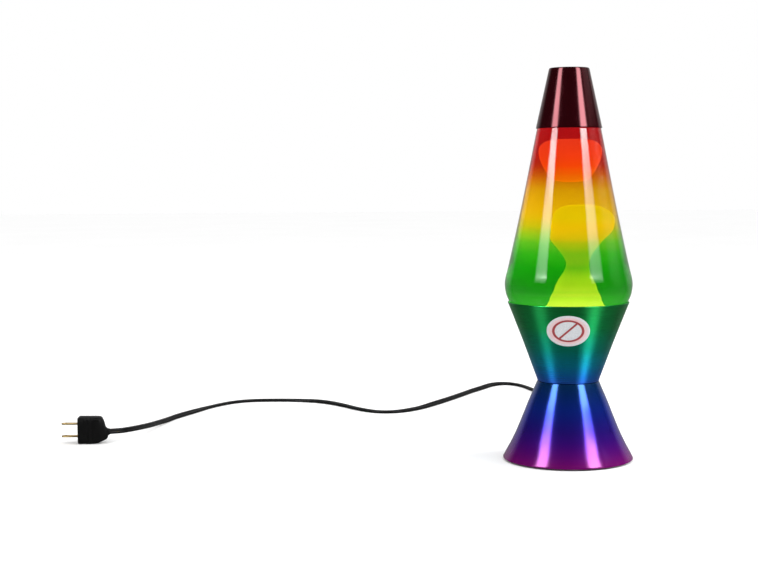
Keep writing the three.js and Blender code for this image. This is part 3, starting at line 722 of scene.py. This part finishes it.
def radius_at(curve, z):
    """The profile's radius at height z."""
    for a, b in zip(curve, curve[1:]):
        if a[1] <= z <= b[1]:
            return a[0] + (b[0] - a[0]) * (z - a[1]) / (b[1] - a[1])
    return curve[-1][0]


def make_bottle():
    lip = [(12.8, 343), *fillet((13.5, 344.9), 0.75, -60, 0, 3),
           *fillet((13.5, 346.6), 0.75, 0, 60, 3), (12.6, 348), (11.0, 348), (10.1, 347.2)]
    profile = [(0, 119.4), (30, 119.2), (35, 118.0), (37.6, 118.0), *GLOBE_OUTER,
               *lip, *reversed(GLOBE_INNER), (36, 120.5), (0, 121.2)]
    bottle = revolve("glass_bottle", profile, globe_glass, 160, sharp=60)
    bottle.data.materials.append(wetted_and_shaded_glass)
    for face in bottle.data.polygons:
        x, y, z = face.center
        reach = math.hypot(x, y) / MM
        inner = reach < radius_at(GLOBE_INNER, z / MM) + 0.6
        wet = inner and 120 < z / MM < LIQUID_TOP
        # Wetted faces mirror nothing, and so does the foot, as painted shade on its reflections.
        face.material_index = int(wet or z / MM < REFLECTION_SHADED_BELOW)
    return belongs(bottle, "globe", "globe_bottle")


def make_liquid():
    """The liquid wets the glass, so its side lies just inside the wall's inner face."""
    side = [(r + 0.12, z) for r, z in GLOBE_INNER if 121.5 < z < LIQUID_TOP - 1]
    top = [(radius_at(GLOBE_INNER, LIQUID_TOP) + 0.1, LIQUID_TOP + 0.6),
           (radius_at(GLOBE_INNER, LIQUID_TOP) - 0.8, LIQUID_TOP), (0, LIQUID_TOP - 0.1)]
    profile = [(0, 121.1), (36, 120.4), (39.3, 121.1), *side, *top]
    return turned("liquid_body", "globe", "liquid", profile, liquid_color, 160, sharp=60)


WAX_FACETS = 96
# How far the wax column stands off the axis towards +X: [z, offset].
COLUMN_LEAN = [(120, 0), (128.2, 0), (146, 4.9), (166, 5.3), (183, 6.5), (196, 5.9), (204, 5.8),
               (216, 9.7), (225, 10.7), (240, 8.5)]


def make_waxes():
    column = curve([(43.3, 127.6), (37, 133.5), (31.5, 139), (29.4, 144.5), (23.4, 151.2),
                    (18.1, 157.8), (12.6, 167.3), (9.4, 175), (8.1, 182.5), (9, 188),
                    (11.4, 193.5), (14.6, 199), (17.7, 204), (20.4, 209.5), (22.1, 216.5),
                    (22.3, 222.5), (20.6, 229.5), (17, 234.4), (10.5, 237.9), (0.01, 239)], 5)
    foot = [(0, 121.6), (35.5, 121.4), (39.4, 122.2), (41.6, 124)]
    turned("wax_pillar", "globe", "wax_column", foot + column, column_wax, WAX_FACETS,
           shift=lambda z: between(COLUMN_LEAN, z), sharp=80)
    drop = curve([(0.01, 260.2), (7, 260.7), (12, 262.6), (15.4, 266.6), (17.6, 271.2),
                  (19.6, 276), (21.2, 281), (22.1, 287), (21.9, 291.4), (20.2, 295.4),
                  (16.4, 298.6), (10.4, 300.1), (0.01, 300.4)], 6)
    turned("wax_drop", "wax", "wax_blob", drop, blob_wax, WAX_FACETS, shift=lambda z: 1.0, sharp=80)


def make_coil():
    """The wire coil that lies on the globe's floor."""
    turns, steps = 14, 14 * 24
    route = []
    for i in range(steps + 1):
        around = 0.12 + (TAU - 0.24) * i / steps
        twist = TAU * turns * i / steps
        radius = 30 + 3 * math.cos(twist)
        route.append(Vector((radius * math.cos(around), radius * math.sin(around),
                             124.9 + 3 * math.sin(twist))) * MM)
    coil = sweep("heat_coil", route, on_circle(0.0007, 10), zinc)
    return belongs(coil, "globe", "wire_coil")


def make_crown():
    """Crimped closure with rounded flutes, and its liner."""
    flutes, facets = 21, 168
    profile = [(0, 349.3), (13.4, 349.3), (14.5, 348.6), (14.9, 346.6), (15.9, 344.4),
               (16.4, 344.5), (15.5, 346.8), (15.1, 348.6), (14.6, 349.4), (13.6, 349.8),
               (0, 349.8)]
    crown = revolve("crown_closure", profile, tin, facets, sharp=60)
    for vertex in crown.data.vertices:
        x, y, z = vertex.co
        depth = 0.45 * min(max((0.3487 - z) / 0.004, 0), 1)
        swell = 1 + depth * math.cos(flutes * math.atan2(y, x)) / 15
        vertex.co = (x * swell, y * swell, z)
    belongs(crown, "globe", "crown_cap")
    turned("closure_liner", "globe", "crown_liner", [(0, 348.3), (12.4, 348.3), (12.6, 348.5),
            (12.6, 348.8), (12.4, 349), (0, 349)], rubber, SMALL)


make_bottle()
make_liquid()
make_waxes()
make_coil()
make_crown()


# ---- label ----

LABEL_Z = 126.9
LABEL_HALF_WIDTH = 20.3
LABEL_HALF_HEIGHT = 14.6
LABEL_TURN = math.radians(-7.2)         # towards -X from the front
RING_RADIUS = 0.665                     # as a share of the label, like the blush round it
BLUSH_RADIUS = 0.79


def label_material():
    """A coated oval label with a plain ring and a slanting bar, and no lettering."""
    shader = Shader("sticker_paper", Roughness=0.42)
    turned = shader.math("ADD", shader.math("MULTIPLY", shader.axis("X"), math.cos(LABEL_TURN)),
                         shader.math("MULTIPLY", shader.axis("Y"), math.sin(LABEL_TURN)))
    across = shader.math("DIVIDE", turned, LABEL_HALF_WIDTH * MM)
    upwards = shader.math("DIVIDE", shader.math("SUBTRACT", shader.axis("Z"), LABEL_Z * MM),
                          LABEL_HALF_HEIGHT * MM)
    squared = shader.math("ADD", shader.math("POWER", across, 2.0),
                          shader.math("POWER", upwards, 2.0))
    distance = shader.math("SQRT", squared)
    ring = shader.span(shader.away(distance, RING_RADIUS), 0.05, 0.07, 1, 0)
    off_bar = shader.away(shader.math("MULTIPLY", across, 0.62),
                          shader.math("MULTIPLY", upwards, 0.5))
    bar = shader.math("MULTIPLY", shader.span(off_bar, 0.036, 0.05, 1, 0),
                      shader.span(distance, 0.66, 0.68, 1, 0))
    print_mask = shader.math("MAXIMUM", ring, bar)
    specks = shader.span(shader.noise(900, 3), 0.35, 0.7, 0.0, 1.0)
    border = shader.span(shader.away(distance, BLUSH_RADIUS), 0.03, 0.13, 1, 0)
    plain = shader.mix(specks, linear(193, 195, 197), linear(172, 175, 179))
    blush = shader.mix(specks, linear(205, 158, 160), linear(194, 182, 183))
    paper = shader.mix(border, plain, blush)
    ink = shader.mix(specks, linear(132, 30, 36), linear(158, 60, 62))
    shader.feed("Base Color", shader.mix(print_mask, paper, ink))
    shader.bump(shader.noise(500, 2), 0.1, 0.00003)
    return shader.material


def make_label():
    """An oval of film that follows the cup, built as a polar grid bent round the cone."""
    rings, sides = 14, 96
    slope = (53.5 - 42.4) / (140.9 - 112.6)
    vertices, faces = [], []
    last_rings = []
    for lift, shrink in ((0.05, 1.0), (0.22, 0.992)):
        start = len(vertices)
        for i in range(rings + 1):
            share = (i / rings) * shrink
            for k in range(sides if i else 1):
                a = TAU * k / sides
                z = LABEL_Z + LABEL_HALF_HEIGHT * share * math.sin(a)
                radius = 42.4 + slope * (z - 112.6) + lift
                angle = LABEL_HALF_WIDTH * share * math.cos(a) / radius + LABEL_TURN
                place_at = (radius * math.sin(angle), -radius * math.cos(angle), z)
                vertices.append(Vector(place_at) * MM)
        for k in range(sides):
            n = (k + 1) % sides
            faces.append([start, start + 1 + k, start + 1 + n])
            for a in range(start + 1, start + 1 + (rings - 1) * sides, sides):
                faces.append([a + k, a + sides + k, a + sides + n, a + n])
        last_rings.append(start + 1 + (rings - 1) * sides)
    back, front = last_rings
    for k in range(sides):
        n = (k + 1) % sides
        faces.append([back + k, back + n, front + n, front + k])
    label = new_object("oval_label", vertices, faces, label_material(), 60)
    outward(label)
    return belongs(label, "base", "oval_sticker")


make_label()


# ---- underside ----

PLATE_Z = 2.5
SCREW_CIRCLE = 54.2


def make_screw(name, shank, head_height, radius, head_radius, material):
    """A cheese-head screw with a slot, its shank along +Z from the head's underside at z = 0."""
    threads = []
    pitch = 0.5
    count = int((shank - 1.2) / pitch)
    for i in range(count):
        threads += [(radius, 0.6 + i * pitch), (radius - 0.22, 0.6 + (i + 0.5) * pitch)]
    profile = [(0, -head_height), (head_radius - 0.5, -head_height),
               *fillet((head_radius - 0.45, -head_height + 0.45), 0.45, -90, 0, 3),
               (head_radius, 0), (radius, 0), *threads, (radius * 0.5, shank), (0, shank)]
    screw = revolve(name, profile, material, 32, sharp=40)
    reach = head_radius * 1.5
    outline = [(-reach, -0.38), (reach, -0.38), (reach, 0.38), (-reach, 0.38)]
    slot = slab("slot", outline, -head_height - 1, -head_height + 0.6, None)
    carve(screw, slot)
    return screw


def make_plate():
    """The vented bottom plate with raised rings, kept clear of its screws and feet."""
    ribs = [(0, PLATE_Z + 0.35), (6, PLATE_Z + 0.35), (6.6, PLATE_Z), (14, PLATE_Z),
            (14.6, PLATE_Z + 0.35), (16.4, PLATE_Z + 0.35), (17, PLATE_Z), (38.5, PLATE_Z),
            (39.1, PLATE_Z + 0.35), (40.1, PLATE_Z + 0.35), (40.7, PLATE_Z)]
    plate = revolve("vented_plate", [*ribs, *fillet((57.4, PLATE_Z + 0.5), 0.5, -90, 0, 3),
                                     (57.9, 3.9), (0, 3.9)], black_plastic, 96)
    cutters = [rod(1.8, 0, 8, x, y) for x, y in on_circle(SCREW_CIRCLE, 3, 30)]
    arc = [(1.8 * math.cos(math.pi * i / 8), 1.8 * math.sin(math.pi * i / 8)) for i in range(9)]
    outline = [(x, y + 34.5) for x, y in arc] + [(-x, 19.5 - y) for x, y in arc]
    for i in range(8):
        cutter = slab("vent", outline, 0, 8, None)
        cutters.append(place(cutter, turn=Matrix.Rotation(TAU * (i + 0.5) / 8, 4, "Z")))
    carve(plate, *cutters)
    return belongs(plate, "base", "bottom_plate")


make_plate()
for i, (x, y) in enumerate(on_circle(SCREW_CIRCLE, 3, 30)):
    screw = make_screw(f"plate_bolt_{i + 1}", 6.2, 1.2, 1.5, 2.7, zinc)
    place(screw, (x, y, 2.2), Matrix.Rotation(0.7 + 1.9 * i, 4, "Z"))
    belongs(screw, "base", f"plate_screw_{i + 1}")
for i, (x, y) in enumerate(on_circle(46, 4, 45)):
    pad = turned(f"rubber_foot_{i + 1}", "base", f"foot_{i + 1}",
                 [(0, 0.25), (3.2, 0.25), (3.4, 0), (4.3, 0), *fillet((4.3, 0.6), 0.6, -90, 0, 4),
                  (4.9, 1.6), (5, 2.2), (0, 2.2)], rubber, SMALL)
    place(pad, (x, y, 0))


# ---- socket, bracket and leads ----

def hexagon(name, across_flats, bore, height, material):
    """A hex nut with chamfered corners."""
    corners = on_circle(across_flats / math.sqrt(3), 6)
    nut = slab(name, corners, 0, height, material, bevel=0.25)
    carve(nut, rod(bore, -1, height + 1, facets=32))
    return nut


def make_bracket():
    """A bent strap that hangs the socket below the waist."""
    outer, floor, top, sheet = 20.2, 34, 73.55, 1.2
    bend = 1.6

    def turn(cx, cz, radius, start, end):
        return fillet((cx, cz), radius, start, end, 4)

    outline = [(-27, top), (-27, top - sheet), (-outer - bend, top - sheet),
               *turn(-outer - bend, top - sheet - bend, bend, 90, 0),
               *turn(-outer + bend, floor + bend, bend, 180, 270),
               *turn(outer - bend, floor + bend, bend, 270, 360),
               *turn(outer + bend, top - sheet - bend, bend, 180, 90),
               (27, top - sheet), (27, top)]
    inner = [(outer - sheet + bend, top),
             *turn(outer - sheet + bend, top - bend, bend, 90, 180),
             *turn(outer - sheet - 0.4, floor + sheet + 0.4, 0.4, 0, -90),
             *turn(-outer + sheet + 0.4, floor + sheet + 0.4, 0.4, 270, 180),
             *turn(-outer + sheet - bend, top - bend, bend, 0, 90)]
    strap = slab("socket_strap", outline + inner, -7, 7, zinc, "Y", 0.2)
    carve(strap, rod(5.3, 20, 40, facets=32), *(rod(1.8, 60, 80, side * 23.7) for side in (-1, 1)))
    return belongs(strap, "base", "socket_bracket")


def make_socket():
    turned("socket_shell", "base", "socket_body",
           [(5.3, 35.5), (12, 35.5), *fillet((12.2, 36.3), 0.8, -90, 0, 4), (13, 44),
            (12.4, 44.6), (12.4, 46), (13, 46.6), (13, 63.6), *fillet((11.6, 64.6), 1.4, 0, 90, 5),
            (9.9, 66), (9.9, 42.5), (0.5, 42.5), (0.5, 41.4), (5.3, 41.4)],
           ceramic, 64, closed=True)
    steps = 32
    wave = [(9.45 - 0.15 * math.cos(TAU * 6 * i / steps), 43 + 21.5 * i / steps)
            for i in range(steps + 1)]
    turned("socket_thread", "base", "socket_screw_shell", wave + inner_wall(wave, 0.35), brass, 64,
           closed=True)
    turned("socket_spring", "base", "socket_contact",
           [(0, 42.8), (3.3, 42.8), (3.5, 43.1), (3.3, 43.4), (2.6, 43.6), (1.6, 45.2),
            (0.8, 45.65), (0, 45.7)], brass, 32)
    threads = [ring for i in range(12) for ring in ((5.0, 28.9 + i), (4.7, 29.4 + i))]
    turned("threaded_pipe", "base", "socket_nipple",
           [(3.4, 28.8), *threads, (5.0, 41.1), (3.4, 41.1)], zinc, SMALL, closed=True)
    nut = place(hexagon("pipe_nut", 15, 5.3, 3.3, zinc), (0, 0, 30.4))
    belongs(nut, "base", "socket_nut")


def make_fasteners():
    for i, side in enumerate((-1, 1)):
        bolt = make_screw(f"waist_bolt_{i + 1}", 8, 1.8, 1.5, 2.7, zinc)
        place(bolt, (side * 23.7, 0, 76.95), Matrix.Rotation(math.pi, 4, "X"))
        belongs(bolt, "base", f"waist_screw_{i + 1}")
        nut = hexagon(f"waist_hex_{i + 1}", 5.5, 1.8, 2.4, zinc)
        place(nut, (side * 23.7, 0, 69.65))
        belongs(nut, "base", f"waist_nut_{i + 1}")
    for name, node, side in (("live_terminal", "terminal_screw_live", 1),
                             ("neutral_terminal", "terminal_screw_neutral", -1)):
        bolt = make_screw(name, 7, 1.4, 1.2, 2.6, brass)
        place(bolt, (0, side * 15.4, 39.5), Matrix.Rotation(side * math.pi / 2, 4, "X"))
        belongs(bolt, "base", node)


def make_leads():
    live = [(2.4, 14.2, 42.5), (2.4, 14.2, 33), (4, 19, 22), (3, 33, 14), (1.4, 44, 12),
            (1.2, RELIEF_INNER_Y, RELIEF_Z)]
    neutral = [(-2.4, -14.2, 42.5), (-2.4, -14.2, 33), (-9, -19, 22), (-24, -8, 16), (-20, 18, 13),
               (-6, 40, 12), (-1.2, RELIEF_INNER_Y, RELIEF_Z)]
    for name, node, route, material in (
            ("live_wire", "lead_live", live, wire_vinyl),
            ("neutral_wire", "lead_neutral", neutral, white_wire)):
        wire = sweep(name, [p * MM for p in spline(route, 10)], on_circle(0.0008, 12), material)
        belongs(wire, "base", node)


make_bracket()
make_socket()
make_fasteners()
make_leads()


# ---- bulb ----

BULB_PITCH = 2.82


def make_bulb():
    outer = curve([(7.4, 60), (7.4, 67), (8.6, 70.4), (11.6, 75.5), (15.3, 81), (17.4, 87.5),
                   (17.2, 93), (14.9, 98.6), (10.3, 102.7), (5, 104.4), (0.01, 104.7)], 5)
    inner = [(max(r - 0.8, 0.0), z - 0.8 * (z - 60) / 44.7) for r, z in outer]
    tip = [(0, 104.7), (0, 103.9)]
    turned("bulb_envelope", "bulb", "bulb_glass",
           outer[:-1] + tip + [p for p in reversed(inner) if p[0] > 0.3], bulb_clear, 64, sharp=60)
    steps = 60
    heights = [51 + 13 * i / steps for i in range(steps + 1)]
    thread = [(8.3 - 0.2 * math.cos(TAU * (z - 51) / BULB_PITCH), z) for z in heights]
    turned("bulb_thread", "bulb", "bulb_screw_base",
           [(7.7, 49.4), *thread, (8.5, 65.2), *fillet((8.9, 65.9), 0.3, -60, 0, 3), (9.2, 66.6),
            (8.9, 67), (7.75, 67), (7.75, 59), (7.3, 52), (6.9, 49.4)], brass, 64, closed=True)
    turned("bulb_glass_bead", "bulb", "bulb_insulator",
           [(0, 47), (3.0, 47), (3.8, 47.2), (6.4, 48.4), (7.4, 49.1), (0, 49.1)],
           black_plastic, SMALL)
    turned("bulb_solder", "bulb_tip", "bulb_contact",
           [(0, 46), (0.8, 46.02), (1.5, 46.2), (2.2, 46.7), (0, 46.7)], solder, 32)
    turned("bulb_mount", "bulb", "bulb_stem",
           [(0, 60.4), (6, 60.4), (5.8, 61.2), (4, 64), (2.6, 68), (1.9, 74), (1.9, 78),
            (2.4, 80.4), (1.6, 81.4), (0, 81.6)], bulb_clear, 32)


def make_filament():
    """Two support wires and a fine coil between them."""
    left = spline([(-2.8, 0, 80), (-5.2, 0, 86), (-7.2, 0, 92.4)], 6)
    right = spline([(7.2, 0, 92.4), (5.2, 0, 86), (2.8, 0, 80)], 6)
    coils, steps = 22, 22 * 10
    span = []
    for i in range(1, steps):
        t = i / steps
        sag = 2.1 * math.sin(math.pi * t)
        a = TAU * coils * t
        span.append(Vector((-7.2 + 14.4 * t, 0.28 * math.cos(a), 92.4 + sag + 0.28 * math.sin(a))))
    shader = Shader("filament", Metallic=1.0, Roughness=0.4, Emission_Strength=4.0,
                    Base_Color=(0.3, 0.3, 0.32, 1))
    glow = shader.ramp(shader.span(shader.axis("Z"), 0.0925, 0.0932),
                       [(0, (0, 0, 0, 1)), (1, (1.0, 0.55, 0.2, 1))])
    shader.feed("Emission Color", glow)
    route = [p * MM for p in left + span + right]
    wire = sweep("bulb_wire", route, on_circle(0.00013, 6), shader.material)
    belongs(wire, "bulb", "bulb_filament")


make_bulb()
make_filament()


# ---- floor, light and world ----

def make_floor():
    shader = Shader("pale_floor", Roughness=0.6, Specular_IOR_Level=0)
    tone = shader.span(shader.noise(3, 3), 0.3, 0.7, 0.0, 1.0)
    shader.feed("Base Color", shader.mix(tone, (0.97, 0.97, 0.97, 1), (0.985, 0.985, 0.985, 1)))
    size = 8.0
    corners = [(-size, -size, 0), (size, -size, 0), (size, size, 0), (-size, size, 0)]
    floor = new_object("floor", corners, [[0, 1, 2, 3]], shader.material)
    floor.visible_glossy = False


PANEL_DISTANCE = 1.2


def softbox(name, azimuth, width, stops, scale=1.0):
    """An upright panel that only reflections see, brightest along its middle.

    Azimuth 0 is in front of the lamp, in degrees. Stops are [height, radiance] from low to high.
    """
    low, high = stops[0][0], stops[-1][0]
    brightest = max(value for _, value in stops)
    angle = math.radians(azimuth)
    middle = Vector((math.sin(angle), -math.cos(angle), 0)) * PANEL_DISTANCE
    side = Vector((math.cos(angle), math.sin(angle), 0))
    corners = [middle + side * (width / 2 * s) + Vector((0, 0, z))
               for s, z in ((-1, low), (1, low), (1, high), (-1, high))]
    shader = Shader(name)
    share = shader.span(shader.axis("Z"), low, high)
    grey = [((z - low) / (high - low), (value / brightest,) * 3 + (1,)) for z, value in stops]
    across = shader.node("VectorMath", {0: shader.coordinates, 1: side}, operation="DOT_PRODUCT")
    off_middle = shader.math("ABSOLUTE", across.outputs["Value"])
    edge = shader.span(off_middle, width * 0.3, width * 0.5, 1, 0)
    glow = shader.node("Emission", {"Color": shader.ramp(share, grey),
                                    "Strength": shader.math("MULTIPLY", edge, brightest * scale)})
    output = shader.tree.nodes["Material Output"]
    shader.tree.links.new(glow.outputs[0], output.inputs["Surface"])
    shader.tree.nodes.remove(shader.bsdf)
    panel = new_object(name, corners, [[0, 1, 2, 3]], shader.material)
    for ray in ("camera", "diffuse", "transmission", "shadow"):
        setattr(panel, f"visible_{ray}", False)


LIT_POINT = Vector((0, 0, 0.1))


def area_light(name, place_at, size, power):
    light = bpy.data.lights.new(name, "AREA")
    light.shape = "DISK"
    light.size = size
    light.energy = power
    lamp = bpy.data.objects.new(name, light)
    lamp.location = place_at
    lamp.rotation_euler = (LIT_POINT - Vector(place_at)).to_track_quat("-Z", "Y").to_euler()
    lamp.visible_glossy = False
    scene.collection.objects.link(lamp)


PALE_ROOM = (1.0, 1.0, 1.0, 1)
# What reflections see: [sine of elevation mapped to 0..1, brightness], dim above, pale below.
MIRRORED_ROOM = [(0.0, 0.17), (0.42, 0.14), (0.52, 0.06), (0.6, 0.035), (1.0, 0.05)]


def make_world():
    """A pale room, but reflections see a dim studio, so that only the softboxes shine in them."""
    world = bpy.data.worlds.new("studio")
    world.use_nodes = True
    scene.world = world
    world.node_tree.nodes.clear()
    nodes = Nodes(world.node_tree)
    direction = nodes.node("TexCoord").outputs["Generated"]
    height = nodes.node("SeparateXYZ", {0: direction}).outputs["Z"]
    greys = [(share, (grey, grey, grey, 1)) for share, grey in MIRRORED_ROOM]
    mirrored = nodes.node("Background", {"Color": nodes.ramp(nodes.span(height, -1, 1), greys)})
    pale = nodes.node("Background", {"Color": PALE_ROOM})
    path = nodes.node("LightPath").outputs
    reflected = nodes.math("SUBTRACT", path["Is Glossy Ray"], path["Is Transmission Ray"], True)
    chosen = nodes.node("MixShader", {0: reflected, 1: pale.outputs[0], 2: mirrored.outputs[0]})
    nodes.node("OutputWorld", {"Surface": chosen.outputs[0]})


# [Height, radiance]: the tall softboxes fade down the glass.
LEFT_STOPS = [[0.44, 1.0], [0.54, 3.3], [0.6, 5.5], [0.66, 8], [0.695, 17], [0.735, 20],
              [0.77, 15], [0.85, 19], [1.3, 15], [1.9, 12]]
RIGHT_STOPS = [[0.44, 0.9], [0.54, 2.6], [0.6, 4.6], [0.66, 6.5], [0.695, 11], [0.735, 15],
               [0.77, 20], [0.85, 21], [1.3, 15], [1.9, 12]]
LOW_STOPS = [[-1.7, 2], [-0.6, 2]]
GLOW_STOPS = [[0.6, 0], [0.68, 0.2], [0.725, 0.5], [0.77, 0.7], [0.85, 0.9], [1.5, 0.9]]
GLOW_LOW_STOPS = [[-1.7, 0.2], [-0.5, 0.2]]
WALL_STOPS = [[-1.9, 0.16], [-0.2, 0.2], [0.25, 0.52], [2.6, 0.52]]

make_floor()
make_world()
for settings in (("softbox_left", -60, 0.56, LEFT_STOPS),
                 ("softbox_right", 47, 0.62, RIGHT_STOPS),
                 ("low_softbox_left", -74, 0.56, LOW_STOPS, 0.66),
                 ("low_softbox_right", 55, 0.56, LOW_STOPS, 1.2),
                 ("back_wall", 173, 4.0, WALL_STOPS),
                 ("side_glow", 92, 1.2, GLOW_STOPS),
                 ("low_side_glow", 95, 1.2, GLOW_LOW_STOPS)):
    softbox(*settings)
area_light("key", (-1.2, -1.4, 2.0), 1.2, 14)
area_light("fill", (1.5, -0.8, 1.6), 1.4, 9)
area_light("side", (1.5, 0.1, 0.6), 0.8, 22)
